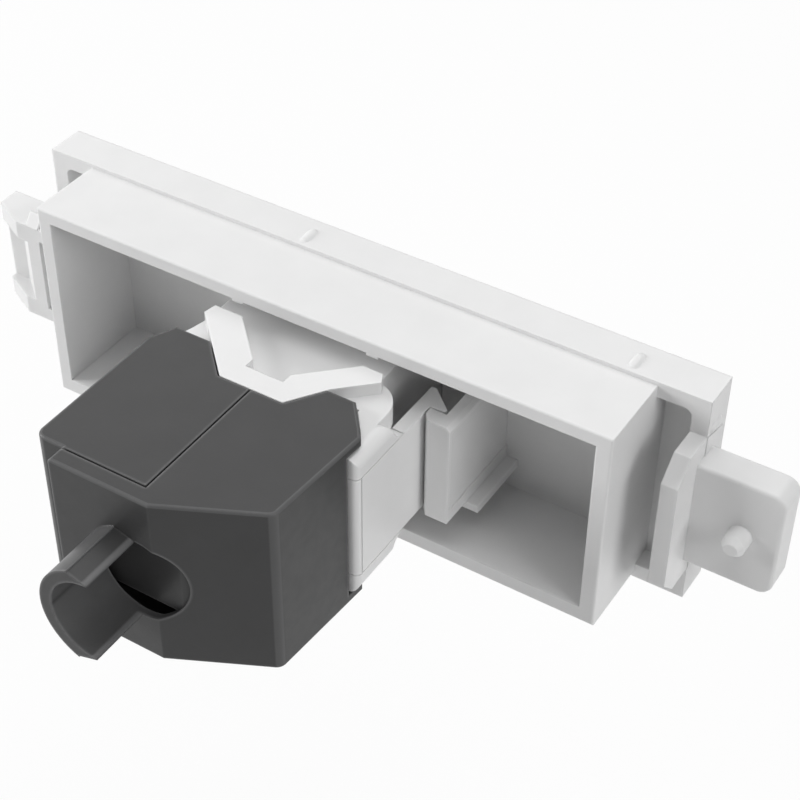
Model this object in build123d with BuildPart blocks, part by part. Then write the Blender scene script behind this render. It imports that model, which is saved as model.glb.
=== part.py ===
"""Ethernet wall socket insert: a moulded face plate with a clip-in data jack and its wiring cap.

The front of the plate faces -Y and its rear rim lies in the plane Y = 0.
X runs along the plate and Z is up, with the origin on the plate's centre line.
"""
import os

from build123d import *

# Face plate: an open tray whose rim faces the rear
PLATE_LENGTH = 68.6
PLATE_HEIGHT = 22.5
PLATE_DEPTH = 4.15
PLATE_FRONT_WALL = 2.0
PLATE_SIDE_WALL = 1.6
PLATE_EDGE_RADIUS = 0.35
POCKET_CORNER_RADIUS = 0.7

# Skirt: the rectangular sleeve behind the plate
SKIRT_END_STEP = 4.8
SKIRT_DEPTH = 7.9
SKIRT_SIDE_WALL = 1.45
SKIRT_TOP_WALL = 1.3
SKIRT_BOTTOM_WALL = 1.6
SKIRT_TOP_STEP = 0.37
SKIRT_BOTTOM_STEP = 0.7
SKIRT_EDGE_RADIUS = 0.2
GUIDE_RIB_WIDTH = 1.15
GUIDE_RIB_HEIGHT = 0.25
GUIDE_RIB_SPACING = 13.9

# Crush ribs on the rim of the plate
CRUSH_RIB_RADIUS = 0.62
CRUSH_RIB_HEIGHT = 0.22
CRUSH_RIB_LENGTH = 2.5
CRUSH_RIB_INSET = 0.3
CRUSH_RIB_TOP_X = (5.8, -26.8)
CRUSH_RIB_END_Z = 7.9

# Fixing tab with its peg, on a flange at one end
FLANGE_THICKNESS = 1.55
FLANGE_HEIGHT = 15.1
FLANGE_DEPTH = 5.0
FLANGE_BEVEL = 2.0
PAD_PROUD = 0.08
PAD_DEPTH = 3.05
PAD_FRONT_HEIGHT = 13.6
TAB_REACH = 8.0
TAB_HEIGHT = 11.1
TAB_THICKNESS = 2.95
TAB_REAR = 1.4
TAB_CORNER_RADIUS = 1.3
TAB_EDGE_RADIUS = 0.35
PEG_RADIUS = 1.05
PEG_SHANK = 1.5
PEG_TIP = 0.6
PEG_TIP_RADIUS = 0.62
PEG_REACH = 4.6

# Snap latch at the other end
LATCH_HEIGHT = 10.8
LATCH_DEPTH = 4.0
LATCH_FRONT = 1.0
LATCH_REACH = 4.55
LATCH_BEVEL_X = 3.4
LATCH_BEVEL_Y = 1.7
LATCH_SLOT_EDGE = 1.55
LATCH_STRAP = 1.4
GRIP_HEIGHT = 7.0
GRIP_DEPTH = 2.3
GRIP_FLOOR = 1.85
GRIP_INSET = 4.6
RAMP_WIDTH = 1.5
RAMP_HEIGHT = 1.2
RAMP_DEPTH = 1.0

# Holder walls that the jack clips between
HOLDER_FACE = 12.2
HOLDER_OUTER = 15.0
HOLDER_RECESS = 13.8
HOLDER_REAR = 8.45
HOLDER_HEIGHT = 11.0
LIP_DEPTH = 1.5
LIP_CHAMFER = 0.6
HOLDER_EDGE = 0.4
HOLDER_PANEL = 0.12
HOLDER_BAND = 1.3
LEDGE_WIDTH = 1.2
LEDGE_HEIGHT = 0.8
LEDGE_SETBACK = 3.4
CATCH_TOP = 0.0

# Data jack: nose, shoulders and wing
NOSE_WIDTH = 15.9
NOSE_HEIGHT = 14.5
NOSE_CLEARANCE = 0.1
NOSE_STEP = 1.55
HOOK_TOP = -0.7
HOOK_INSET = 1.0
SHOULDER_WIDTH = 21.8
SHOULDER_HEIGHT = 15.3
SHOULDER_FRONT = 8.6
SHOULDER_REAR = 12.5
SHOULDER_RADIUS = 3.1
SHOULDER_LEFT = [(9.17, 9.62), (9.32, 10.3), (9.55, 11.29), (9.95, 12.5)]
LEVER_ROOM = -1.2
CHAMBER_WIDTH = 15.0
CHAMBER_HEIGHT = 13.4
CHAMBER_FRONT = 8.4
WING_TOP = 17.7 / 2
WING_SOLE = 6.75
WING_FLOOR = 7.25
WING_EDGE = [(8.75, 8.7), (9.0, 10.0), (2.75, 16.25), (-3.6, 16.25), (-5.95, 12.8), (-9.1, 9.75),
             (-8.6, 8.7)]
WINDOW_EDGE = [(5.9, 7.7), (5.9, 8.7), (1.65, 13.0), (1.65, 14.05), (-2.2, 14.05), (-2.2, 13.0), (-6.6, 8.7),
               (-6.6, 7.7)]

# Plug port, turned a quarter turn: the plug's width runs along Z
PORT_WIDTH = 11.9
PORT_HEIGHT = 7.0
PORT_LOW_SIDE = 4.2
PORT_KEY_WIDTH = 6.3
PORT_KEY_DEPTH = 1.4
PORT_SLOT_WIDTH = 3.5
PORT_SLOT_DEPTH = 1.4
CONTACT_CHANNEL_FRONT = -1.0
CONTACT_CHANNEL_WIDTH = 10.2

# Hinged latch lever beside the jack
HINGE_X = 11.35
HINGE_Y = 16.75
KNUCKLE_RADIUS = 0.7
TRUNNION_RADIUS = 0.35
TRUNNION_LENGTH = 1.3
TRUNNION_CLEARANCE = 0.05
LEVER_HEIGHT = 10.9
LEVER_GAP = 0.08
LEVER_THICKNESS = 1.25
LEVER_TIP = 4.4
CHEEK_FRONT = 10.9
CHEEK_CREST = 13.9
CHEEK_FOOT = 1.3
CHEEK_BROW = 1.1
CHEEK_EDGE_RADIUS = 1.2
CHEEK_HEEL = [(-10.65, 16.8), (-9.7, 15.8), (-9.7, 14.05), (-8.7, 12.78), (-8.6, 12.4)]
HEEL_REACH = 1.25
HEEL_RADIUS = 0.6
HEEL_GROOVE = 0.12
TOOTH_REACH = 1.45
TOOTH_CLEARANCE = 0.3

# Contacts, board and terminal block
CONTACT_PITCH = 1.02
CONTACT_COUNT = 8
CONTACT_SIZE = 0.36
CONTACT_BED_INSET = 1.75
CONTACT_BED = CHAMBER_WIDTH / 2 - CONTACT_BED_INSET
CONTACT_BACKING = 0.85
CONTACT_BEND_Y = 0.2
CONTACT_BEND_RADIUS = 0.5
CONTACT_TIP = [-1.9, 5.6]
CONTACT_SLOT_CLEARANCE = 0.08
INSERT_PLATE = 1.5
BOARD_THICKNESS = 1.0
FIT_GAP = 0.1
BLOCK_BASE = 1.3
TOWER_DEPTH = 4.2
TOWER_WIDTH = 3.4
TOWER_INSET = 2.9
TOWER_CENTRE = CHAMBER_WIDTH / 2 - TOWER_INSET
TERMINAL_PITCH = 2.95
WIRE_SLOT = 1.3
WIRE_SLOT_DEPTH = 3.2
BLADE_THICKNESS = 0.4
BLADE_WIDTH = 2.2
BLADE_TINE_GAP = 0.38
BLADE_TINE_LENGTH = 3.0
BLADE_TAIL_WIDTH = 0.6

# Wiring cap and its cover
CAP_FRONT = 12.85
CAP_REAR = 31.85
CAP_LEFT = 11.0
CAP_RIGHT = 11.4
CAP_HEIGHT = 17.7
CAP_WALL = 1.35
CAP_TAPER = 0.7
CAP_CORNER_RADIUS = 1.0
CAP_EDGE_RADIUS = 0.3
OBLIQUE_WIDTH = 8.9
OBLIQUE_DEPTH = 4.4
REAR_PLATE = 1.55
REAR_PLATE_LEFT = 8.1
COVER_EDGE = 0.34
SEAM_GAP = 0.2
WING_CLEARANCE = 0.08
LEVER_CLEARANCE = 0.3

# Cable outlet: a half tube behind the cap
OUTLET_RADIUS = 5.3
OUTLET_BORE = 4.15
OUTLET_LENGTH = 5.9
OUTLET_X = -0.15
OUTLET_Z = -0.15
OUTLET_LIP_X = 1.95
OUTLET_LIP_DROP = 0.65
OUTLET_RIM = 0.7
POCKET_HALF = 6.2
LEAF_REAR = 30.75
LEAF_THICKNESS = 0.9
LEAF_LOW = -3.25
LEAF_BEND = 3.0
LEAF_LEFT = 5.8

# Wire comb
COMB_FRONT = 18.4
COMB_PLATE = 1.4
COMB_FIN = 0.7
COMB_FIN_REACH = 4.0
COMB_FIN_SLIT = 1.0
COMB_THROAT = 2.4

plate_end = PLATE_LENGTH / 2
skirt_end = plate_end - SKIRT_END_STEP
skirt_top = PLATE_HEIGHT / 2 - SKIRT_TOP_STEP
skirt_bottom = -PLATE_HEIGHT / 2 + SKIRT_BOTTOM_STEP
skirt_inner_top = skirt_top - SKIRT_TOP_WALL
skirt_inner_bottom = skirt_bottom + SKIRT_BOTTOM_WALL
floor_y = PLATE_FRONT_WALL - PLATE_DEPTH
lip_front = HOLDER_REAR - LIP_DEPTH
insert_rear = CHAMBER_FRONT + INSERT_PLATE
board_front = insert_rear + FIT_GAP
board_rear = board_front + BOARD_THICKNESS
block_front = board_rear + FIT_GAP
tower_front = block_front + BLOCK_BASE
tower_rear = tower_front + TOWER_DEPTH
contact_zs = [(i - (CONTACT_COUNT - 1) / 2) * CONTACT_PITCH for i in range(CONTACT_COUNT)]
terminal_zs = [(i - 1.5) * TERMINAL_PITCH for i in range(4)]
terminals = [(side * TOWER_CENTRE, z) for side in (1, -1) for z in terminal_zs]

os.makedirs("parts", exist_ok=True)


def slab(xs, ys, zs, mode=Mode.ADD):
    """Box between the two values given for each axis."""
    centre = ((xs[0] + xs[1]) / 2, (ys[0] + ys[1]) / 2, (zs[0] + zs[1]) / 2)
    with Locations(centre):
        return Box(abs(xs[1] - xs[0]), abs(ys[1] - ys[0]), abs(zs[1] - zs[0]), mode=mode)


def plan_prism(points, low, high, mode=Mode.ADD, rounds={}):
    """Outline in plan, drawn as (x, y) points, raised from low to high, with some corners rounded."""
    with BuildSketch(Plane.XY.offset(low)) as outline:
        with BuildLine():
            Polyline(*points, close=True)
        make_face()
        for (x, y), radius in rounds.items():
            corner = min(outline.vertices(), key=lambda vertex: (vertex.X - x) ** 2 + (vertex.Y - y) ** 2)
            fillet(corner, radius)
    return extrude(outline.sketch, amount=high - low, mode=mode)


def save(part, name):
    part.label = name
    export_step(part, f"parts/{name}.step")


def wing_outline(gap=0.0):
    """Tapering wing that guides the cap, widened by a gap on its slanted sides."""
    grow = 1.45 * gap
    middle = (WING_EDGE[2][0] + WING_EDGE[3][0]) / 2
    rear = WING_EDGE[2][1]
    return [(x + (grow if x > middle else -grow), y + (gap if y == rear else 0)) for x, y in WING_EDGE]


def holder(side, top):
    """Wall with an inward lip at its rear end, for the jack's tooth or hook."""
    bottom = -HOLDER_HEIGHT / 2
    points = [
        (side * HOLDER_OUTER, floor_y), (side * HOLDER_OUTER, HOLDER_REAR),
        (side * (HOLDER_FACE + LIP_CHAMFER), HOLDER_REAR),
        (side * HOLDER_FACE, HOLDER_REAR - 1.25 * LIP_CHAMFER), (side * HOLDER_FACE, lip_front),
        (side * HOLDER_RECESS, lip_front), (side * HOLDER_RECESS, floor_y),
    ]
    with BuildPart() as wall:
        plan_prism(points, bottom, top)
        outer = wall.faces().sort_by(Axis.X)[-1 if side > 0 else 0]
        chamfer(outer.edges().sort_by(Axis.Z)[-1], HOLDER_EDGE)
        slab((side * (HOLDER_OUTER - HOLDER_PANEL), side * HOLDER_OUTER),
             (floor_y, HOLDER_REAR - HOLDER_EDGE), (bottom + HOLDER_BAND, top - 2 * HOLDER_EDGE),
             mode=Mode.SUBTRACT)
        slab((side * HOLDER_RECESS, side * (HOLDER_OUTER + LEDGE_WIDTH)),
             (floor_y, HOLDER_REAR - LEDGE_SETBACK), (bottom - LEDGE_HEIGHT, bottom))
    return wall.part


def crush_rib(x, z):
    """Domed rib along Y, to be sunk into the plate's edge."""
    rear = -CRUSH_RIB_INSET
    front = rear - CRUSH_RIB_LENGTH
    middle = (front + rear) / 2
    with BuildPart() as rib:
        with BuildSketch(Plane((x, 0, z))) as profile:
            with BuildLine():
                ThreePointArc((0, front), (CRUSH_RIB_RADIUS * 0.7071, front + CRUSH_RIB_RADIUS * 0.2929),
                              (CRUSH_RIB_RADIUS, front + CRUSH_RIB_RADIUS))
                Line((CRUSH_RIB_RADIUS, front + CRUSH_RIB_RADIUS), (CRUSH_RIB_RADIUS, middle))
                Line((CRUSH_RIB_RADIUS, middle), (CRUSH_RIB_RADIUS, rear - CRUSH_RIB_RADIUS))
                ThreePointArc((CRUSH_RIB_RADIUS, rear - CRUSH_RIB_RADIUS),
                              (CRUSH_RIB_RADIUS * 0.7071, rear - CRUSH_RIB_RADIUS * 0.2929), (0, rear))
                Line((0, rear), (0, front))
            make_face()
        revolve(profile.sketch, axis=Axis((x, 0, z), (0, 1, 0)))
    return rib.part


def cheek():
    """Upper plate beside the lever, swept up from the arm, and its bridge to the jack."""
    outer = -HINGE_X - KNUCKLE_RADIUS
    inner = CHEEK_HEEL[-1][0]
    base = LEVER_HEIGHT / 2 + LEVER_GAP
    top = SHOULDER_HEIGHT / 2
    rear = HINGE_Y + HEEL_REACH
    with BuildPart() as side_view:
        with BuildSketch(Plane.YZ.offset(outer)) as profile:
            with BuildLine():
                Spline((CHEEK_FRONT, base), (CHEEK_FRONT + CHEEK_FOOT, base + 0.7),
                       (CHEEK_CREST - CHEEK_BROW, top - 0.35),
                       (CHEEK_CREST, top), tangents=((1, 0.25), (1, 0)))
                Polyline((CHEEK_CREST, top), (rear, top), (rear, base), (CHEEK_FRONT, base))
            make_face()
        extrude(profile.sketch, amount=inner - outer)
    with BuildPart() as end_view:
        with BuildSketch(Plane.XZ.offset(-CHEEK_FRONT + 1)) as section:
            with BuildLine():
                Line((outer, base), (outer, top - CHEEK_EDGE_RADIUS))
                RadiusArc((outer, top - CHEEK_EDGE_RADIUS), (outer + CHEEK_EDGE_RADIUS, top),
                          CHEEK_EDGE_RADIUS)
                Polyline((outer + CHEEK_EDGE_RADIUS, top), (inner, top), (inner, base), (outer, base))
            make_face()
        extrude(section.sketch, amount=-(rear - CHEEK_FRONT + 2))
    with BuildPart() as plan_view:
        corner = (outer, rear)
        points = [(outer, CHEEK_FRONT - 1), corner, (CHEEK_HEEL[0][0], rear), *CHEEK_HEEL,
                  (inner, CHEEK_FRONT - 1)]
        plan_prism(points, base, top, rounds={corner: HEEL_RADIUS})
    shoulder_x = -SHOULDER_WIDTH / 2
    with BuildPart() as bridge:
        points = [(shoulder_x, SHOULDER_REAR - 0.1), (shoulder_x, CHEEK_CREST), *CHEEK_HEEL[2:]]
        plan_prism(points, base, top)
    return side_view.part & end_view.part & plan_view.part, bridge.part


# Frame: plate, skirt, tab, latch and holders, moulded in one
with BuildPart() as frame:
    slab((-plate_end, plate_end), (-PLATE_DEPTH, 0), (-PLATE_HEIGHT / 2, PLATE_HEIGHT / 2))
    fillet(frame.edges().group_by(Axis.Y)[0], PLATE_EDGE_RADIUS)
    pocket_height = PLATE_HEIGHT - 2 * PLATE_SIDE_WALL + 0.1
    with BuildSketch(Plane.XZ):
        Rectangle(PLATE_LENGTH - 2 * PLATE_SIDE_WALL, pocket_height)
        fillet(vertices(), POCKET_CORNER_RADIUS)
    extrude(amount=-floor_y, mode=Mode.SUBTRACT)
    slab((-skirt_end, skirt_end), (floor_y, SKIRT_DEPTH), (skirt_bottom, skirt_top))
    fillet(frame.edges().group_by(Axis.Y)[-1], SKIRT_EDGE_RADIUS)
    slab((-skirt_end + SKIRT_SIDE_WALL, skirt_end - SKIRT_SIDE_WALL), (floor_y, SKIRT_DEPTH),
         (skirt_inner_bottom, skirt_inner_top), mode=Mode.SUBTRACT)
    for side in (1, -1):
        rib_x = side * GUIDE_RIB_SPACING / 2
        slab((rib_x - GUIDE_RIB_WIDTH / 2, rib_x + GUIDE_RIB_WIDTH / 2), (floor_y, SKIRT_DEPTH),
             (skirt_inner_top - GUIDE_RIB_HEIGHT, skirt_inner_top))
    add(holder(-1, HOLDER_HEIGHT / 2))
    add(holder(1, CATCH_TOP))
    window_x = NOSE_WIDTH / 2 + NOSE_CLEARANCE
    window_z = NOSE_HEIGHT / 2 + NOSE_CLEARANCE
    slab((-window_x, window_x), (-PLATE_DEPTH, floor_y), (-window_z, window_z), mode=Mode.SUBTRACT)

    # crush ribs: two on the top edge, one on each end
    rib_sunk = CRUSH_RIB_RADIUS - CRUSH_RIB_HEIGHT
    for x in CRUSH_RIB_TOP_X:
        add(crush_rib(x, PLATE_HEIGHT / 2 - rib_sunk))
    for side in (1, -1):
        add(crush_rib(side * (plate_end - rib_sunk), CRUSH_RIB_END_Z))

    # flange with bevelled corners, and the tab that stands out from it
    with BuildSketch(Plane.YZ.offset(-plate_end)):
        with BuildLine():
            Polyline((floor_y, -FLANGE_HEIGHT / 2), (FLANGE_DEPTH - FLANGE_BEVEL, -FLANGE_HEIGHT / 2),
                     (FLANGE_DEPTH, -FLANGE_HEIGHT / 2 + FLANGE_BEVEL),
                     (FLANGE_DEPTH, FLANGE_HEIGHT / 2 - FLANGE_BEVEL),
                     (FLANGE_DEPTH - FLANGE_BEVEL, FLANGE_HEIGHT / 2), (floor_y, FLANGE_HEIGHT / 2),
                     close=True)
        make_face()
    extrude(amount=FLANGE_THICKNESS)
    with BuildSketch(Plane.YZ.offset(-plate_end - PAD_PROUD)):
        with BuildLine():
            Polyline((0, -FLANGE_HEIGHT / 2), (-PAD_DEPTH, -PAD_FRONT_HEIGHT / 2),
                     (-PAD_DEPTH, PAD_FRONT_HEIGHT / 2), (0, FLANGE_HEIGHT / 2), close=True)
        make_face()
    extrude(amount=2 * PAD_PROUD)
    with BuildPart(mode=Mode.PRIVATE) as tab:
        with BuildSketch(Plane.XZ.offset(-TAB_REAR)):
            with Locations((-plate_end - TAB_REACH / 2, 0)):
                Rectangle(TAB_REACH, TAB_HEIGHT)
            fillet(vertices().group_by(Axis.X)[0], TAB_CORNER_RADIUS)
        extrude(amount=TAB_THICKNESS)
        fillet(tab.edges().group_by(Axis.Y)[-1].sort_by(Axis.X)[:-1], TAB_EDGE_RADIUS)
    add(tab.part)
    peg_x = -plate_end - PEG_REACH
    with BuildSketch(Plane((peg_x, 0, 0), x_dir=(1, 0, 0), z_dir=(0, 0, 1))):
        with BuildLine():
            Polyline((0, 0), (PEG_RADIUS, 0), (PEG_RADIUS, TAB_REAR + PEG_SHANK),
                     (PEG_TIP_RADIUS, TAB_REAR + PEG_SHANK + PEG_TIP),
                     (0, TAB_REAR + PEG_SHANK + PEG_TIP), close=True)
        make_face()
    revolve(axis=Axis((peg_x, 0, 0), (0, 1, 0)))

    # snap latch on two straps, with a finger grip cut in its outer corner
    latch_rear = LATCH_FRONT + LATCH_DEPTH
    latch_end = plate_end + LATCH_REACH
    latch_half = LATCH_HEIGHT / 2
    plan_prism([(skirt_end, LATCH_FRONT), (latch_end, LATCH_FRONT),
                (latch_end, latch_rear - LATCH_BEVEL_Y), (latch_end - LATCH_BEVEL_X, latch_rear),
                (skirt_end, latch_rear)], -latch_half, latch_half)
    grip_y = LATCH_FRONT + LATCH_DEPTH - GRIP_DEPTH
    plan_prism([(latch_end, grip_y), (latch_end - GRIP_FLOOR, grip_y),
                (latch_end - GRIP_INSET, latch_rear), (latch_end, latch_rear)],
               -GRIP_HEIGHT / 2, GRIP_HEIGHT / 2, mode=Mode.SUBTRACT)
    slot_x = plate_end - LATCH_SLOT_EDGE
    slab((skirt_end, slot_x), (LATCH_FRONT, latch_rear),
         (-latch_half + LATCH_STRAP, latch_half - LATCH_STRAP), mode=Mode.SUBTRACT)
    with BuildSketch(Plane.YZ.offset(slot_x)):
        with BuildLine():
            Polyline((latch_rear, latch_half), (latch_rear - RAMP_DEPTH, latch_half + RAMP_HEIGHT),
                     (latch_rear - 1.6 * RAMP_DEPTH, latch_half), close=True)
        make_face()
    extrude(amount=RAMP_WIDTH)
save(frame.part, "frame")

# Jack housing: nose, shoulders, wings and the plates that carry the lever
with BuildPart() as housing:
    slab((-NOSE_WIDTH / 2, NOSE_WIDTH / 2), (-PLATE_DEPTH, SHOULDER_FRONT),
         (-NOSE_HEIGHT / 2, NOSE_HEIGHT / 2))
    fillet(housing.edges().group_by(Axis.Y)[0], 0.3)
    step_x = NOSE_WIDTH / 2 + NOSE_STEP
    slab((0, step_x), (floor_y + NOSE_CLEARANCE, SHOULDER_FRONT), (-NOSE_HEIGHT / 2, NOSE_HEIGHT / 2))
    shoulder = SHOULDER_WIDTH / 2
    with BuildSketch(Plane.XY.offset(-SHOULDER_HEIGHT / 2)):
        with BuildLine():
            Line((SHOULDER_RADIUS - shoulder, SHOULDER_FRONT), (SHOULDER_LEFT[0][0], SHOULDER_FRONT))
            Polyline((SHOULDER_LEFT[0][0], SHOULDER_FRONT), *SHOULDER_LEFT, (-shoulder, SHOULDER_REAR),
                     (-shoulder, SHOULDER_FRONT + SHOULDER_RADIUS))
            RadiusArc((-shoulder, SHOULDER_FRONT + SHOULDER_RADIUS),
                      (SHOULDER_RADIUS - shoulder, SHOULDER_FRONT), -SHOULDER_RADIUS)
        make_face()
    extrude(amount=SHOULDER_HEIGHT)
    for side in (1, -1):
        low, high = sorted((side * WING_SOLE, side * WING_TOP))
        plan_prism(wing_outline(), low, high)
        low, high = sorted((side * WING_FLOOR, side * WING_TOP))
        plan_prism(WINDOW_EDGE, low, high, mode=Mode.SUBTRACT)

    # cheeks above and below the lever, with blind bores for its trunnions
    knuckle_gap = LEVER_HEIGHT / 2 + LEVER_GAP
    for piece in cheek():
        add(piece)
        add(mirror(piece, about=Plane.XY))
    bore_depth = LEVER_HEIGHT / 2 + TRUNNION_LENGTH + TRUNNION_CLEARANCE
    with BuildSketch(Plane.XY.offset(-bore_depth)):
        with Locations((-HINGE_X, HINGE_Y)):
            Circle(TRUNNION_RADIUS + TRUNNION_CLEARANCE)
    extrude(amount=2 * bore_depth, mode=Mode.SUBTRACT)

    # room for the lever to swing, and the fixed hook on the other side
    slab((-SHOULDER_WIDTH / 2, LEVER_ROOM - NOSE_WIDTH / 2), (SHOULDER_FRONT, SHOULDER_REAR),
         (-knuckle_gap, knuckle_gap), mode=Mode.SUBTRACT)
    hook_y = (LEVER_TIP + 0.3, lip_front)
    slab((NOSE_WIDTH / 2, HOLDER_RECESS - 0.3), hook_y, (-LEVER_HEIGHT / 2 + HOOK_INSET, HOOK_TOP))

    # port with its stepped key slot, contact channel and rear chamber
    port_low = -PORT_LOW_SIDE
    port_high = port_low + PORT_HEIGHT
    key_high = port_high + PORT_KEY_DEPTH
    port_y = (-PLATE_DEPTH, CHAMBER_FRONT)
    slab((port_low, port_high), port_y, (-PORT_WIDTH / 2, PORT_WIDTH / 2), mode=Mode.SUBTRACT)
    slab((port_high, key_high), port_y, (-PORT_KEY_WIDTH / 2, PORT_KEY_WIDTH / 2), mode=Mode.SUBTRACT)
    slab((key_high, key_high + PORT_SLOT_DEPTH), port_y,
         (-PORT_SLOT_WIDTH / 2, PORT_SLOT_WIDTH / 2), mode=Mode.SUBTRACT)
    channel_low = -CONTACT_BED - CONTACT_BACKING
    slab((channel_low, port_low), (CONTACT_CHANNEL_FRONT, CHAMBER_FRONT),
         (-CONTACT_CHANNEL_WIDTH / 2, CONTACT_CHANNEL_WIDTH / 2), mode=Mode.SUBTRACT)
    slab((-CHAMBER_WIDTH / 2, CHAMBER_WIDTH / 2), (CHAMBER_FRONT, SHOULDER_REAR),
         (-CHAMBER_HEIGHT / 2, CHAMBER_HEIGHT / 2), mode=Mode.SUBTRACT)
save(housing.part, "jack_housing")

# Latch lever: knuckle, splayed arm and tooth
with BuildPart() as lever:
    lever_outer = -HINGE_X - KNUCKLE_RADIUS
    lever_inner = lever_outer + LEVER_THICKNESS
    lever_rear = HINGE_Y + HEEL_REACH
    tooth_rear = lip_front - TOOTH_CLEARANCE
    plan_prism([(lever_inner, lever_rear), (lever_inner, LEVER_TIP), (lever_inner - 0.5, LEVER_TIP),
                (lever_outer - TOOTH_REACH, tooth_rear - 0.3), (lever_outer - TOOTH_REACH, tooth_rear),
                (lever_outer, tooth_rear + 0.15), (lever_outer, lever_rear)],
               -LEVER_HEIGHT / 2, LEVER_HEIGHT / 2, rounds={(lever_outer, lever_rear): HEEL_RADIUS})
    groove_y = lever_rear - HEEL_RADIUS - HEEL_GROOVE
    slab((lever_outer, lever_outer + HEEL_GROOVE), (groove_y, groove_y + HEEL_GROOVE),
         (-LEVER_HEIGHT / 2, LEVER_HEIGHT / 2), mode=Mode.SUBTRACT)
    trunnion_half = LEVER_HEIGHT / 2 + TRUNNION_LENGTH
    with BuildSketch(Plane.XY.offset(-trunnion_half)):
        with Locations((-HINGE_X, HINGE_Y)):
            Circle(TRUNNION_RADIUS)
    extrude(amount=2 * trunnion_half)
save(lever.part, "latch_lever")

# Contact insert: rear wall and the bed that the contact wires lie on
with BuildPart() as insert:
    slab((-CHAMBER_WIDTH / 2 + FIT_GAP, CHAMBER_WIDTH / 2 - FIT_GAP), (CHAMBER_FRONT, insert_rear),
         (-CHAMBER_HEIGHT / 2 + FIT_GAP, CHAMBER_HEIGHT / 2 - FIT_GAP))
    bed_x = (-CONTACT_BED - CONTACT_SIZE / 2, channel_low + FIT_GAP)
    slab(bed_x, (CONTACT_CHANNEL_FRONT + FIT_GAP, CHAMBER_FRONT),
         (-CONTACT_CHANNEL_WIDTH / 2 + FIT_GAP, CONTACT_CHANNEL_WIDTH / 2 - FIT_GAP))
    slot = CONTACT_SIZE / 2 + CONTACT_SLOT_CLEARANCE
    for z in contact_zs:
        slab((-CONTACT_BED - CONTACT_SIZE / 2, -CONTACT_BED + slot), (CHAMBER_FRONT, insert_rear),
             (z - slot, z + slot), mode=Mode.SUBTRACT)
save(insert.part, "contact_insert")

# Contact springs: eight bent wires in the port
for number, z in enumerate(contact_zs, start=1):
    with BuildPart() as contact:
        with BuildSketch(Plane.XY.offset(z - CONTACT_SIZE / 2)):
            with BuildLine() as path:
                FilletPolyline((-CONTACT_BED, board_rear), (-CONTACT_BED, CONTACT_BEND_Y),
                               (CONTACT_TIP[0], CONTACT_TIP[1]), radius=CONTACT_BEND_RADIUS)
            trace(line_width=CONTACT_SIZE)
        extrude(amount=CONTACT_SIZE)
    save(contact.part, f"contact_{number}")

# Circuit board with its plated holes
with BuildPart() as board:
    slab((-CHAMBER_WIDTH / 2 + 2 * FIT_GAP, CHAMBER_WIDTH / 2 - 2 * FIT_GAP), (board_front, board_rear),
         (-CHAMBER_HEIGHT / 2 + 2 * FIT_GAP, CHAMBER_HEIGHT / 2 - 2 * FIT_GAP))
    hole = CONTACT_SIZE / 2 + CONTACT_SLOT_CLEARANCE
    for z in contact_zs:
        slab((-CONTACT_BED - hole, -CONTACT_BED + hole), (board_front, board_rear), (z - hole, z + hole),
             mode=Mode.SUBTRACT)
    tail = BLADE_TAIL_WIDTH / 2 + CONTACT_SLOT_CLEARANCE
    for x, z in terminals:
        slab((x - tail, x + tail), (board_front, board_rear), (z - tail, z + tail), mode=Mode.SUBTRACT)
save(board.part, "circuit_board")

# Terminal block: base and two rows of towers with wire slots
with BuildPart() as block:
    block_half = CHAMBER_HEIGHT / 2 - 2 * FIT_GAP
    slab((-CHAMBER_WIDTH / 2 + 2 * FIT_GAP, CHAMBER_WIDTH / 2 - 2 * FIT_GAP), (block_front, tower_front),
         (-block_half, block_half))
    for side in (1, -1):
        tower = (side * TOWER_CENTRE - TOWER_WIDTH / 2, side * TOWER_CENTRE + TOWER_WIDTH / 2)
        slab(tower, (tower_front, tower_rear), (-block_half, block_half))
        for z in terminal_zs:
            slab(tower, (tower_rear - WIRE_SLOT_DEPTH, tower_rear), (z - WIRE_SLOT / 2, z + WIRE_SLOT / 2),
                 mode=Mode.SUBTRACT)
    pocket = BLADE_THICKNESS / 2 + CONTACT_SLOT_CLEARANCE
    half = BLADE_WIDTH / 2 + CONTACT_SLOT_CLEARANCE
    for x, z in terminals:
        slab((x - pocket, x + pocket), (block_front, tower_rear), (z - half, z + half), mode=Mode.SUBTRACT)
save(block.part, "terminal_block")

# Terminals: forked blades that cut into the wires
blade_shoulder = block_front + FIT_GAP
for number, (x, z) in enumerate(terminals, start=1):
    with BuildPart() as blade:
        slab((x - BLADE_THICKNESS / 2, x + BLADE_THICKNESS / 2), (blade_shoulder, tower_rear - 0.2),
             (z - BLADE_WIDTH / 2, z + BLADE_WIDTH / 2))
        slab((x - BLADE_THICKNESS / 2, x + BLADE_THICKNESS / 2),
             (tower_rear - 0.2 - BLADE_TINE_LENGTH, tower_rear - 0.2),
             (z - BLADE_TINE_GAP / 2, z + BLADE_TINE_GAP / 2), mode=Mode.SUBTRACT)
        chamfer(blade.edges().filter_by(Axis.X).group_by(Axis.Y)[-1].sort_by(Axis.Z)[1:3], 0.4)
        slab((x - BLADE_THICKNESS / 2, x + BLADE_THICKNESS / 2), (board_front, blade_shoulder),
             (z - BLADE_TAIL_WIDTH / 2, z + BLADE_TAIL_WIDTH / 2))
    save(blade.part, f"terminal_{number}")

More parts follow.
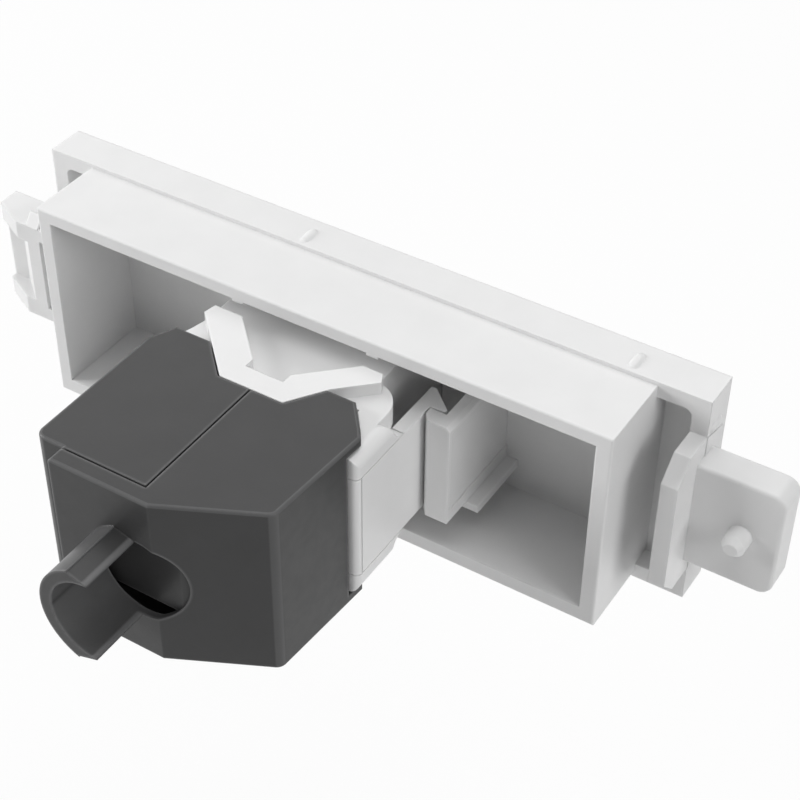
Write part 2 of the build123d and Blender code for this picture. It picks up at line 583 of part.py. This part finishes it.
# Wiring cap
cap_half = CAP_HEIGHT / 2
oblique_left = CAP_TAPER - CAP_RIGHT + OBLIQUE_WIDTH
oblique_front = CAP_REAR - OBLIQUE_DEPTH
cover_rear = CAP_REAR - REAR_PLATE - SEAM_GAP
cap_outline = [
    (9.8, CAP_FRONT), (-8.6, CAP_FRONT), (-10.85, 15.6), (-CAP_RIGHT, 16.4),
    (CAP_TAPER - CAP_RIGHT, oblique_front), (oblique_left, CAP_REAR), (REAR_PLATE_LEFT, CAP_REAR),
    (REAR_PLATE_LEFT, cover_rear), (CAP_LEFT, cover_rear), (CAP_LEFT, 15.3),
]
cap_rounds = {cap_outline[4]: CAP_CORNER_RADIUS, cap_outline[8]: CAP_CORNER_RADIUS}
cavity_outline = [
    (CAP_LEFT - CAP_WALL, CAP_FRONT), (CAP_WALL - CAP_RIGHT, CAP_FRONT),
    (CAP_TAPER - CAP_RIGHT + CAP_WALL, oblique_front - 0.4),
    (oblique_left + 0.3, CAP_REAR - CAP_WALL), (REAR_PLATE_LEFT - CAP_WALL, CAP_REAR - REAR_PLATE),
    (REAR_PLATE_LEFT - CAP_WALL, cover_rear - CAP_WALL), (CAP_LEFT - CAP_WALL, cover_rear - CAP_WALL),
]
recess_half = SHOULDER_HEIGHT / 2 + LEVER_CLEARANCE
recess_rear = HINGE_Y + HEEL_REACH + LEVER_CLEARANCE
oblique_slope = OBLIQUE_DEPTH / OBLIQUE_WIDTH


def oblique_y(x, inset):
    """Where a line set in from the oblique face lies at a given x."""
    return CAP_REAR - oblique_slope * (oblique_left - x) - inset * (1 + oblique_slope ** 2) ** 0.5


def cap_shell():
    """Whole cap as a closed sleeve, open to the front, with its notches for the wings."""
    with BuildPart() as shell:
        plan_prism(cap_outline, -cap_half, cap_half, rounds=cap_rounds)
        fillet(shell.edges().group_by(Axis.Z)[0] + shell.edges().group_by(Axis.Z)[-1], CAP_EDGE_RADIUS)
        plan_prism(cavity_outline, -cap_half + CAP_WALL, cap_half - CAP_WALL, mode=Mode.SUBTRACT)
        for side in (1, -1):
            low, high = sorted((side * (cap_half - CAP_WALL), side * cap_half))
            plan_prism(wing_outline(WING_CLEARANCE), low, high, mode=Mode.SUBTRACT)
        slab((-CAP_RIGHT, -HINGE_X + 2.5 * KNUCKLE_RADIUS), (CAP_FRONT, recess_rear),
             (-recess_half, recess_half), mode=Mode.SUBTRACT)
    return shell.part


with BuildPart() as cap:
    add(cap_shell())
    slab((-COVER_EDGE - SEAM_GAP, CAP_LEFT), (CAP_FRONT, cover_rear + SEAM_GAP), (-cap_half, cap_half),
         mode=Mode.SUBTRACT)
    slab((REAR_PLATE_LEFT, CAP_LEFT), (CAP_FRONT, CAP_REAR), (-cap_half, cap_half), mode=Mode.SUBTRACT)
    slab((-COVER_EDGE, REAR_PLATE_LEFT), (CAP_REAR - REAR_PLATE, CAP_REAR),
         (-cap_half + CAP_WALL, cap_half - CAP_WALL))

    # cable outlet: the tube is cut back to its left half, with lips that end at the bore
    outlet_rear = CAP_REAR + OUTLET_LENGTH
    lip_z = OUTLET_BORE + OUTLET_LIP_DROP
    clear = OUTLET_RADIUS + CAP_WALL
    outlet_plane = Plane(origin=(OUTLET_X, outlet_rear, OUTLET_Z), x_dir=(1, 0, 0), z_dir=(0, -1, 0))
    with BuildSketch(outlet_plane):
        Circle(OUTLET_RADIUS)
        with BuildLine():
            Polyline((0, OUTLET_BORE), (OUTLET_LIP_X, lip_z), (OUTLET_LIP_X, clear), (-clear, clear),
                     (-clear, -clear), (OUTLET_LIP_X, -clear), (OUTLET_LIP_X, -lip_z), (0, -OUTLET_BORE),
                     close=True)
        make_face(mode=Mode.SUBTRACT)
    extrude(amount=OUTLET_LENGTH + REAR_PLATE)

    # thin wall around the outlet, its bore, and the leaf that stands behind its upper part
    pocket_rear = CAP_REAR - OUTLET_RIM
    pocket_front = LEAF_REAR - LEAF_THICKNESS - 0.4
    plan_prism([(LEAF_LEFT + 0.2, pocket_front), (LEAF_LEFT + 0.2, pocket_rear), (oblique_left, pocket_rear),
                (-POCKET_HALF, oblique_y(-POCKET_HALF, OUTLET_RIM)), (-POCKET_HALF, oblique_front - 0.6),
                (-LEAF_BEND, pocket_front)], -POCKET_HALF, POCKET_HALF, mode=Mode.SUBTRACT)
    with BuildSketch(outlet_plane):
        Circle(OUTLET_BORE)
    extrude(amount=OUTLET_LENGTH + OBLIQUE_DEPTH + CAP_WALL, mode=Mode.SUBTRACT)
    leaf_front = LEAF_REAR - LEAF_THICKNESS
    leaf_right = OUTLET_X - OUTLET_BORE + 0.7
    plan_prism([(LEAF_LEFT, leaf_front), (LEAF_LEFT, LEAF_REAR), (leaf_right, LEAF_REAR),
                (-POCKET_HALF, oblique_y(-POCKET_HALF, 0.15)),
                (-POCKET_HALF, oblique_y(-POCKET_HALF, LEAF_THICKNESS)), (-LEAF_BEND, leaf_front)],
               LEAF_LOW, cap_half - CAP_WALL - FIT_GAP)
save(cap.part, "cap_body")

with BuildPart() as cover:
    add(cap_shell())
    slab((-CAP_RIGHT, -COVER_EDGE), (CAP_FRONT, CAP_REAR), (-cap_half, cap_half), mode=Mode.SUBTRACT)
    slab((-COVER_EDGE, CAP_LEFT), (cover_rear, CAP_REAR), (-cap_half, cap_half), mode=Mode.SUBTRACT)
    slab((-COVER_EDGE, REAR_PLATE_LEFT), (cover_rear - CAP_WALL, CAP_REAR),
         (-cap_half + CAP_WALL, cap_half - CAP_WALL), mode=Mode.SUBTRACT)
save(cover.part, "cap_cover")

# Wire comb: presses the wires into the terminals
with BuildPart() as comb:
    comb_rear = COMB_FRONT + COMB_PLATE
    comb_half = cap_half - CAP_WALL - FIT_GAP
    slab((CAP_TAPER / 2 - CAP_RIGHT + CAP_WALL + FIT_GAP, CAP_LEFT - CAP_WALL - FIT_GAP),
         (COMB_FRONT, comb_rear), (-comb_half, comb_half))
    with BuildSketch(Plane.XZ.offset(-comb_rear)):
        Circle(COMB_THROAT)
    extrude(amount=COMB_PLATE, mode=Mode.SUBTRACT)
    for x, z in terminals:
        slab((x - TOWER_WIDTH / 2, x + TOWER_WIDTH / 2), (COMB_FRONT - COMB_FIN_REACH, COMB_FRONT),
             (z - COMB_FIN / 2, z + COMB_FIN / 2))
        slab((x - COMB_FIN_SLIT / 2, x + COMB_FIN_SLIT / 2), (COMB_FRONT - COMB_FIN_REACH, COMB_FRONT - 1),
             (z - COMB_FIN / 2, z + COMB_FIN / 2), mode=Mode.SUBTRACT)
save(comb.part, "wire_comb")
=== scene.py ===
import math

import bpy
from mathutils import Matrix, Vector

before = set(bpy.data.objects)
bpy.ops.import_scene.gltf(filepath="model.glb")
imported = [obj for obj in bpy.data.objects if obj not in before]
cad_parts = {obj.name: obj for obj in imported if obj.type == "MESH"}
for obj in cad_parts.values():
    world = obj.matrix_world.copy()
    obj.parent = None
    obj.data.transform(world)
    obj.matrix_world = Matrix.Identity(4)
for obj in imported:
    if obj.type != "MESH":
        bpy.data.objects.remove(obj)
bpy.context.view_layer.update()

# Camera solved from the photograph's straight edges
CAMERA_AT = Vector((-0.07141, 0.10759, 0.10619))
AZIMUTH = math.radians(31.73)
ELEVATION = math.radians(40.54)
ROLL = math.radians(-0.628)
SENSOR = 36.0
FOCAL = 1826.2 / 800 * SENSOR
CLIP_START = 0.005

# Studio: floor, world light, and lamps with their place, size and watts
FLOOR_Z = -0.05
FLOOR_SIZE = 6.0
FLOOR_TONE = (0.79, 0.81)
FLOOR_GLOW = 0.92
AMBIENT = 0.1
LAMPS = [
    ("top", (-0.02, 0.05, 0.5), 0.35, 0.84),
    ("front", (0.0, -0.3, 0.42), 0.35, 0.78),
    ("right", (-0.5, 0.1, 0.25), 0.3, 1.2),
    ("left", (0.5, 0.25, 0.2), 0.3, 2.8),
    ("left_front", (0.43, -0.29, 0.30), 0.3, 0.35),
]

# Finishes in linear colour
WHITE = (0.742, 0.742, 0.742)
HOUSING_WHITE = (0.76, 0.76, 0.76)
CHARCOAL = (0.043, 0.043, 0.0435)
COMB_GREY = (0.10, 0.10, 0.105)
GOLD = (0.83, 0.60, 0.24)
TIN = (0.60, 0.60, 0.58)
SOLDER_MASK = (0.02, 0.13, 0.05)

# Noise scales per metre, and the range that the noise mostly keeps to
MOTTLE_SCALE = 260
PATCH_SCALE = 900
GRAIN_SCALE = 9000
TONE_SCALE = 1500
LINE_SCALE = 3000
FLOOR_SCALE = 4
NOISE_RANGE = (0.3, 0.7)

# Spread of a finish: roughness of mouldings, tone and roughness of drawn metal, line depth in metres
MOULDED_ROUGHNESS = (-0.04, 0.04)
DRAWN_TONE = (0.9, 1.08)
DRAWN_ROUGHNESS = (-0.06, 0.08)
LINE_DEPTH = 0.000004

# Painted edge and rounding highlight: share of open rays from under a flat wall to under an edge, least
# bend of a rounding in radians
WALL_TO_EDGE = (0.95, 0.5)
LEAST_BEND = 0.008


def node(tree, kind, **sockets):
    """New node with the given input values."""
    made = tree.nodes.new(kind)
    for name, value in sockets.items():
        made.inputs[name.replace("_", " ")].default_value = value
    return made


def maths(tree, operation, *values):
    """Result of one operation on numbers and the outputs of other nodes."""
    made = tree.nodes.new("ShaderNodeMath")
    made.operation = operation
    for socket, value in zip(made.inputs, values):
        if isinstance(value, float):
            socket.default_value = value
        else:
            tree.links.new(value, socket)
    return made.outputs["Value"]


def scaled(tree, colour, factor):
    """A colour, or the output of a node, multiplied by a node's value."""
    made = tree.nodes.new("ShaderNodeVectorMath")
    made.operation = "SCALE"
    if isinstance(colour, tuple):
        made.inputs[0].default_value = colour
    else:
        tree.links.new(colour, made.inputs[0])
    tree.links.new(factor, made.inputs["Scale"])
    return made.outputs["Vector"]


def new_material(name):
    """Material with an empty tree but for its Principled shader."""
    material = bpy.data.materials.new(name)
    material.use_nodes = True
    shader = material.node_tree.nodes["Principled BSDF"]
    return material, material.node_tree, shader


def object_noise(tree, scale, detail=3.0, stretch=(1, 1, 1)):
    """Noise in the part's own coordinates, at a scale per metre."""
    place = tree.nodes.new("ShaderNodeTexCoord")
    mapping = node(tree, "ShaderNodeMapping", Scale=stretch)
    noise = node(tree, "ShaderNodeTexNoise", Scale=scale, Detail=detail)
    tree.links.new(place.outputs["Object"], mapping.inputs["Vector"])
    tree.links.new(mapping.outputs["Vector"], noise.inputs["Vector"])
    return noise.outputs["Fac"]


def spread(tree, value, low, high, source=NOISE_RANGE):
    """A value mapped from one range to another, by default from that of noise."""
    start, end = source
    ramp = node(tree, "ShaderNodeMapRange", From_Min=start, From_Max=end, To_Min=low, To_Max=high)
    tree.links.new(value, ramp.inputs["Value"])
    return ramp.outputs["Result"]


def mark_roundings_for_highlight(obj):
    """Marks the points whose edges bend by more than LEAST_BEND on average, for a painted highlight on the
    roundings.
    """
    tree = bpy.data.node_groups.new("roundings", "GeometryNodeTree")
    tree.interface.new_socket("Geometry", in_out="INPUT", socket_type="NodeSocketGeometry")
    tree.interface.new_socket("Geometry", in_out="OUTPUT", socket_type="NodeSocketGeometry")
    start = tree.nodes.new("NodeGroupInput")
    end = tree.nodes.new("NodeGroupOutput")
    angle = tree.nodes.new("GeometryNodeInputMeshEdgeAngle")
    bent = maths(tree, "GREATER_THAN", angle.outputs["Unsigned Angle"], LEAST_BEND)
    store = node(tree, "GeometryNodeStoreNamedAttribute", Name="rounding")
    store.data_type = "FLOAT"
    store.domain = "POINT"
    tree.links.new(bent, store.inputs["Value"])
    tree.links.new(start.outputs[0], store.inputs["Geometry"])
    tree.links.new(store.outputs["Geometry"], end.inputs[0])
    obj.modifiers.new("roundings", "NODES").node_group = tree


def moulded(name, colour, roughness, grain=0.00001, edge=0.00018, tint=0.015, edge_highlight_gain=1.08, reach=0.0003,
            gloss=0.45, rounding_highlight_gain=0.0):
    """Moulded plastic: fine spark-eroded grain, faint flow mottling, softened edges, and a painted
    highlight that lightens the colour at edges and marked roundings.
    """
    material, tree, shader = new_material(name)
    shader.inputs["Specular IOR Level"].default_value = gloss
    mottle = spread(tree, object_noise(tree, MOTTLE_SCALE, 4.0), 1 - tint, 1 + tint)
    bevel = node(tree, "ShaderNodeBevel", Radius=edge)
    bevel.samples = 6
    # Painted highlight: inward rays that meet the far face within reach find an edge, and the colour is
    # lightened there
    inside = node(tree, "ShaderNodeAmbientOcclusion", Distance=reach)
    inside.inside = True
    inside.only_local = True
    inside.samples = 8
    painted_highlight = spread(tree, inside.outputs["AO"], 1.0, edge_highlight_gain, WALL_TO_EDGE)
    # Painted highlight on the marked roundings, added to the edge highlight
    if rounding_highlight_gain:
        mark = tree.nodes.new("ShaderNodeAttribute")
        mark.attribute_name = "rounding"
        painted_highlight = maths(tree, "MULTIPLY_ADD", mark.outputs["Fac"], rounding_highlight_gain, painted_highlight)
    tree.links.new(scaled(tree, scaled(tree, colour, mottle), painted_highlight), shader.inputs["Base Color"])
    low, high = MOULDED_ROUGHNESS
    rough = spread(tree, object_noise(tree, PATCH_SCALE), roughness + low, roughness + high)
    tree.links.new(rough, shader.inputs["Roughness"])
    bump = node(tree, "ShaderNodeBump", Strength=0.35, Distance=grain)
    tree.links.new(object_noise(tree, GRAIN_SCALE, 2.0), bump.inputs["Height"])
    tree.links.new(bevel.outputs["Normal"], bump.inputs["Normal"])
    tree.links.new(bump.outputs["Normal"], shader.inputs["Normal"])
    return material


def metal(name, colour, roughness, stretch):
    """Plated or drawn metal with fine lines along the way it was formed."""
    material, tree, shader = new_material(name)
    shader.inputs["Metallic"].default_value = 1.0
    tone = spread(tree, object_noise(tree, TONE_SCALE, stretch=stretch), *DRAWN_TONE)
    tree.links.new(scaled(tree, colour, tone), shader.inputs["Base Color"])
    lines = object_noise(tree, LINE_SCALE, 2.0, stretch)
    low, high = DRAWN_ROUGHNESS
    rough = spread(tree, lines, roughness + low, roughness + high)
    tree.links.new(rough, shader.inputs["Roughness"])
    bump = node(tree, "ShaderNodeBump", Strength=0.3, Distance=LINE_DEPTH)
    tree.links.new(lines, bump.inputs["Height"])
    tree.links.new(bump.outputs["Normal"], shader.inputs["Normal"])
    return material


def dress(material, *names):
    """Gives CAD nodes their finish."""
    for name in names:
        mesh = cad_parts[name].data
        mesh.materials.clear()
        mesh.materials.append(material)


white_plastic = moulded("white_plastic", WHITE, 0.42)
housing_plastic = moulded("housing_plastic", HOUSING_WHITE, 0.36)
# Charcoal gets a strong painted highlight on its edges and roundings
charcoal_plastic = moulded("charcoal_plastic", CHARCOAL, 0.38, grain=0.00002, edge=0.00022, tint=0.05,
                           edge_highlight_gain=3.2, reach=0.00028, gloss=0.26, rounding_highlight_gain=0.9)
comb_plastic = moulded("comb_plastic", COMB_GREY, 0.45)
gold_plate = metal("gold_plate", GOLD, 0.2, (1, 0.05, 1))
tin_plate = metal("tin_plate", TIN, 0.3, (1, 0.1, 1))
board_lacquer = moulded("board_lacquer", SOLDER_MASK, 0.3, tint=0.12)

# The cap's roundings are marked for a painted highlight
for cap_piece in ("cap_body", "cap_cover"):
    mark_roundings_for_highlight(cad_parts[cap_piece])

numbers = range(1, 9)
dress(white_plastic, "frame")
dress(housing_plastic, "jack_housing", "latch_lever", "contact_insert")
dress(charcoal_plastic, "cap_body", "cap_cover", "terminal_block")
dress(comb_plastic, "wire_comb")
dress(board_lacquer, "circuit_board")
dress(gold_plate, *[f"contact_{number}" for number in numbers])
dress(tin_plate, *[f"terminal_{number}" for number in numbers])


def white_rays(tree):
    """One for camera, glossy and transmission rays, which see the white background."""
    path = tree.nodes.new("ShaderNodeLightPath")
    seen = maths(tree, "MAXIMUM", path.outputs["Is Camera Ray"], path.outputs["Is Glossy Ray"])
    return maths(tree, "MAXIMUM", seen, path.outputs["Is Transmission Ray"])


def backdrop_material():
    """Pale floor that looks white to the camera and still takes the object's soft shadow."""
    material, tree, shader = new_material("studio_floor")
    shader.inputs["Roughness"].default_value = 0.9
    shader.inputs["Specular IOR Level"].default_value = 0.0
    tint = spread(tree, object_noise(tree, FLOOR_SCALE, 2.0), *FLOOR_TONE)
    tree.links.new(tint, shader.inputs["Base Color"])
    glow = node(tree, "ShaderNodeEmission", Color=(1, 1, 1, 1), Strength=1.0)
    mix = node(tree, "ShaderNodeMixShader")
    tree.links.new(maths(tree, "MULTIPLY", white_rays(tree), FLOOR_GLOW), mix.inputs["Fac"])
    tree.links.new(shader.outputs["BSDF"], mix.inputs[1])
    tree.links.new(glow.outputs["Emission"], mix.inputs[2])
    tree.links.new(mix.outputs["Shader"], tree.nodes["Material Output"].inputs["Surface"])
    return material


bpy.ops.mesh.primitive_plane_add(size=FLOOR_SIZE, location=(0, 0, FLOOR_Z))
floor = bpy.context.object
floor.name = "studio_floor"
floor.data.materials.append(backdrop_material())

# World: dim light for the object, white for the rays that see the background
world = bpy.data.worlds.new("studio")
bpy.context.scene.world = world
world.use_nodes = True
sky = world.node_tree
ambient = sky.nodes["Background"]
ambient.inputs["Color"].default_value = (1, 1, 1, 1)
ambient.inputs["Strength"].default_value = AMBIENT
seen_sky = node(sky, "ShaderNodeBackground", Color=(1, 1, 1, 1), Strength=1.0)
mix_sky = node(sky, "ShaderNodeMixShader")
sky.links.new(white_rays(sky), mix_sky.inputs["Fac"])
sky.links.new(ambient.outputs["Background"], mix_sky.inputs[1])
sky.links.new(seen_sky.outputs["Background"], mix_sky.inputs[2])
sky.links.new(mix_sky.outputs["Shader"], sky.nodes["World Output"].inputs["Surface"])


def softbox(name, place, size, watts):
    """Square area light that faces the object."""
    lamp = bpy.data.lights.new(name, "AREA")
    lamp.size = size
    lamp.energy = watts
    holder = bpy.data.objects.new(name, lamp)
    bpy.context.collection.objects.link(holder)
    holder.location = place
    holder.rotation_euler = (-Vector(place)).to_track_quat("-Z", "Y").to_euler()


for lamp_row in LAMPS:
    softbox(*lamp_row)

# Camera axes: rightwards and upwards in the picture, turned by the roll
forward = Vector((math.sin(AZIMUTH) * math.cos(ELEVATION), -math.cos(AZIMUTH) * math.cos(ELEVATION),
                  -math.sin(ELEVATION)))
level = Vector((-math.cos(AZIMUTH), -math.sin(AZIMUTH), 0))
down = forward.cross(level)
right = math.cos(ROLL) * level + math.sin(ROLL) * down
up = math.sin(ROLL) * level - math.cos(ROLL) * down
turn = Matrix((right, up, -forward)).transposed()

lens = bpy.data.cameras.new("camera")
lens.sensor_width = SENSOR
lens.lens = FOCAL
lens.clip_start = CLIP_START
camera = bpy.data.objects.new("camera", lens)
bpy.context.collection.objects.link(camera)
camera.matrix_world = Matrix.Translation(CAMERA_AT) @ turn.to_4x4()
bpy.context.scene.camera = camera
bpy.context.scene.view_settings.view_transform = "Standard"

bpy.context.view_layer.update()
